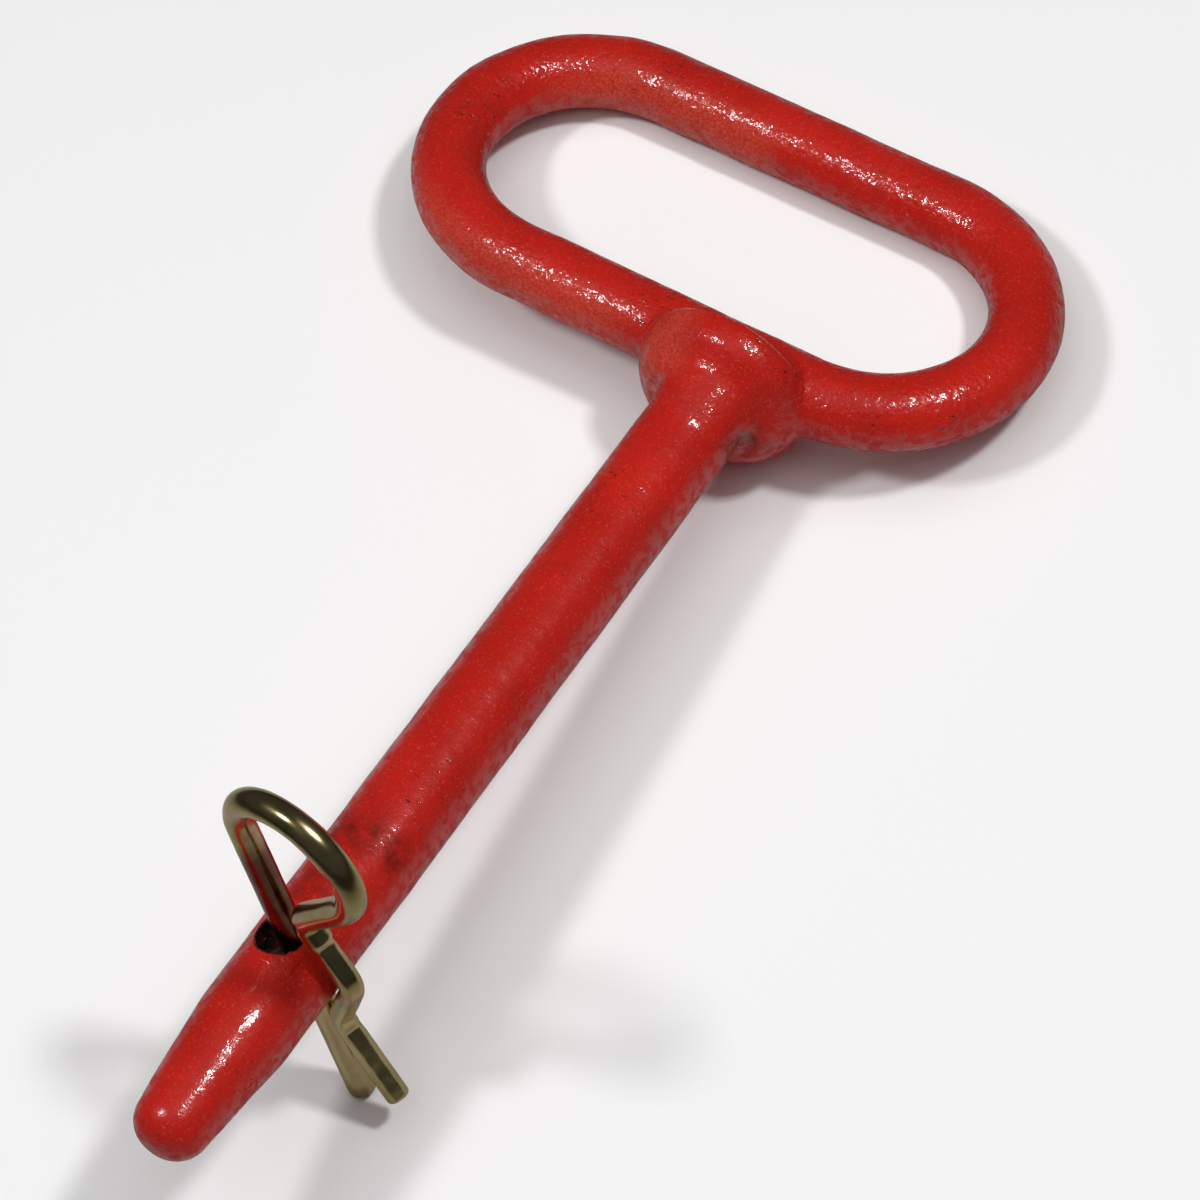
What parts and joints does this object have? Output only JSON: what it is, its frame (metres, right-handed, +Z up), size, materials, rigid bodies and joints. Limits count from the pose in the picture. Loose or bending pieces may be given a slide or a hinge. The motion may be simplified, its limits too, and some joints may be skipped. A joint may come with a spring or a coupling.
{
  "type": "hitch pin with spring clip",
  "caption": "Steel hitch pin with a round head, a closed racetrack grip handle and a bent-wire spring clip through its tip.",
  "frame": {"origin": "middle of the whole pin's footprint, on the surface that it lies on", "axes": "+X along the handle's two straight bars, to the side on which the shaft sits; +Y from the tip towards the handle, level; +Z up. The shaft leans, its tip the higher end."},
  "size_m": [0.1408, 0.264, 0.0963],
  "materials": {
    "red_enamel": "gloss",
    "yellow_zinc": "satin"
  },
  "bodies": {
    "pin_body": {"pin": "red_enamel", "handle": "red_enamel"},
    "clip_body": {"clip": "yellow_zinc"}
  },
  "joints": [
    {"name": "clip_slide", "type": "slide", "parent": "pin_body", "child": "clip_body", "axis": [-0.2284, 0.1154, 0.9667], "range_m": [0, 0.056], "deforming": ["clip"]}
  ]
}
